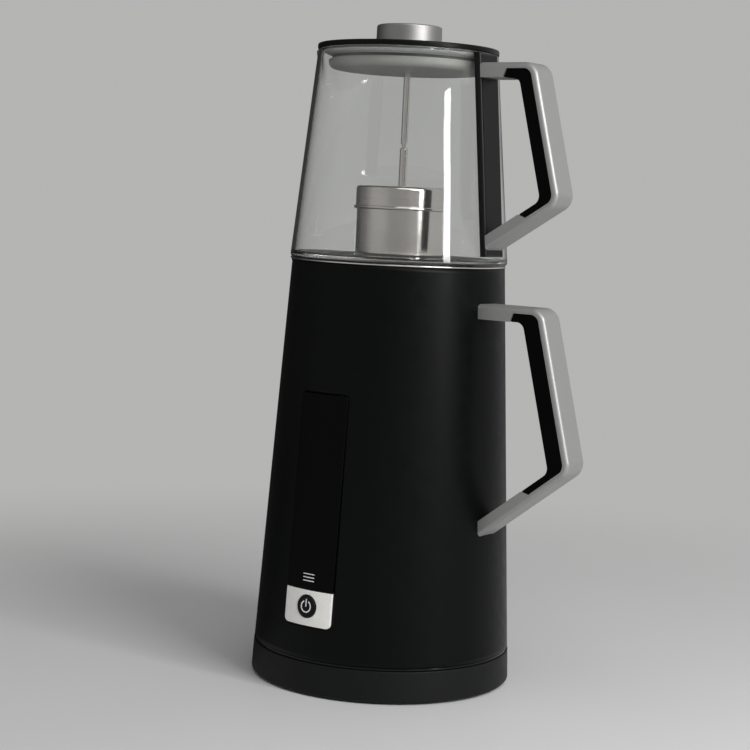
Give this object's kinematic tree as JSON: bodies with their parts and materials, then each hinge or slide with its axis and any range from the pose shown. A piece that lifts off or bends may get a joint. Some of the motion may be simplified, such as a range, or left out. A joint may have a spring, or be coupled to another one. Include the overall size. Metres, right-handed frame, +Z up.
{
  "type": "electric tea maker",
  "caption": "Tapered electric kettle on a power base, with a glass teapot on its rim, a lid with a hanging infuser, two bent handles and a power button.",
  "frame": {"origin": "on the kettle's axis, at the plane that the base's feet rest on", "axes": "+Z up along the kettle's axis, +X towards the handles, -Y towards the controls"},
  "size_m": [0.212, 0.161, 0.3983],
  "materials": {
    "charcoal_plastic": "fine matt",
    "foot_rubber": "matt",
    "fastener_steel": "plain",
    "black_plastic": "fine matt",
    "contact_brass": "plain",
    "black_paint": "satin",
    "polished_steel": "polished",
    "heater_aluminium": "as cast",
    "gloss_black": "gloss",
    "grey_tile": "satin",
    "board_green": "matt",
    "satin_silver": "satin",
    "grip_black": "satin",
    "clear_glass": "clear",
    "lid_black": "satin",
    "plug_clear": "translucent",
    "seal_white": "matt",
    "knob_aluminium": "brushed"
  },
  "bodies": {
    "power_base": {"base_shell": "charcoal_plastic", "base_bottom_plate": "charcoal_plastic", "base_feet": "foot_rubber", "base_screws": "fastener_steel", "cord_inlet": "foot_rubber", "base_connector": "black_plastic", "connector_contacts": "contact_brass"},
    "kettle": {"kettle_shell": "black_paint", "kettle_rim": "polished_steel", "inner_vessel": "polished_steel", "heating_plate": "heater_aluminium", "heating_element": "heater_aluminium", "thermostat": "black_plastic", "kettle_socket": "black_plastic", "socket_pins": "contact_brass", "kettle_tray": "gloss_black", "tray_screws": "fastener_steel", "control_window": "gloss_black", "control_tile": "grey_tile", "control_board": "board_green", "button_switch": "black_plastic", "kettle_handle_frame": "satin_silver", "kettle_handle_grip": "grip_black", "kettle_handle_screws": "fastener_steel"},
    "button": {"power_button": "gloss_black", "button_plunger": "black_plastic"},
    "teapot": {"teapot_glass": "clear_glass", "teapot_spine": "grip_black", "teapot_handle_frame": "satin_silver", "teapot_handle_grip": "grip_black", "teapot_handle_screws": "fastener_steel"},
    "lid": {"lid_cap": "lid_black", "lid_plug": "plug_clear", "lid_seal": "seal_white", "lid_knob": "knob_aluminium", "stem_rod": "polished_steel"},
    "infuser": {"stem_tube": "polished_steel", "infuser_cap": "polished_steel"},
    "basket": {"infuser_basket": "polished_steel", "infuser_strainer": "polished_steel"}
  },
  "joints": [
    {"name": "kettle_lift", "type": "slide", "parent": "power_base", "child": "kettle", "axis": [0, 0, 1], "range_m": [0, 0.05]},
    {"name": "power_button_press", "type": "slide", "parent": "kettle", "child": "button", "axis": [0, 0.9983, -0.0585], "range_m": [0, 0.0012], "stiffness_N_per_m": 900},
    {"name": "teapot_lift", "type": "slide", "parent": "kettle", "child": "teapot", "axis": [0, 0, 1], "range_m": [0, 0.06]},
    {"name": "lid_lift", "type": "slide", "parent": "teapot", "child": "lid", "axis": [0, 0, 1], "range_m": [0, 0.135]},
    {"name": "infuser_turn", "type": "hinge", "parent": "lid", "child": "infuser", "pos_m": [0, 0, 0.32], "axis": [0, 0, 1], "continuous": true},
    {"name": "basket_turn", "type": "hinge", "parent": "infuser", "child": "basket", "pos_m": [0, 0, 0.289], "axis": [0, 0, 1], "continuous": true}
  ]
}
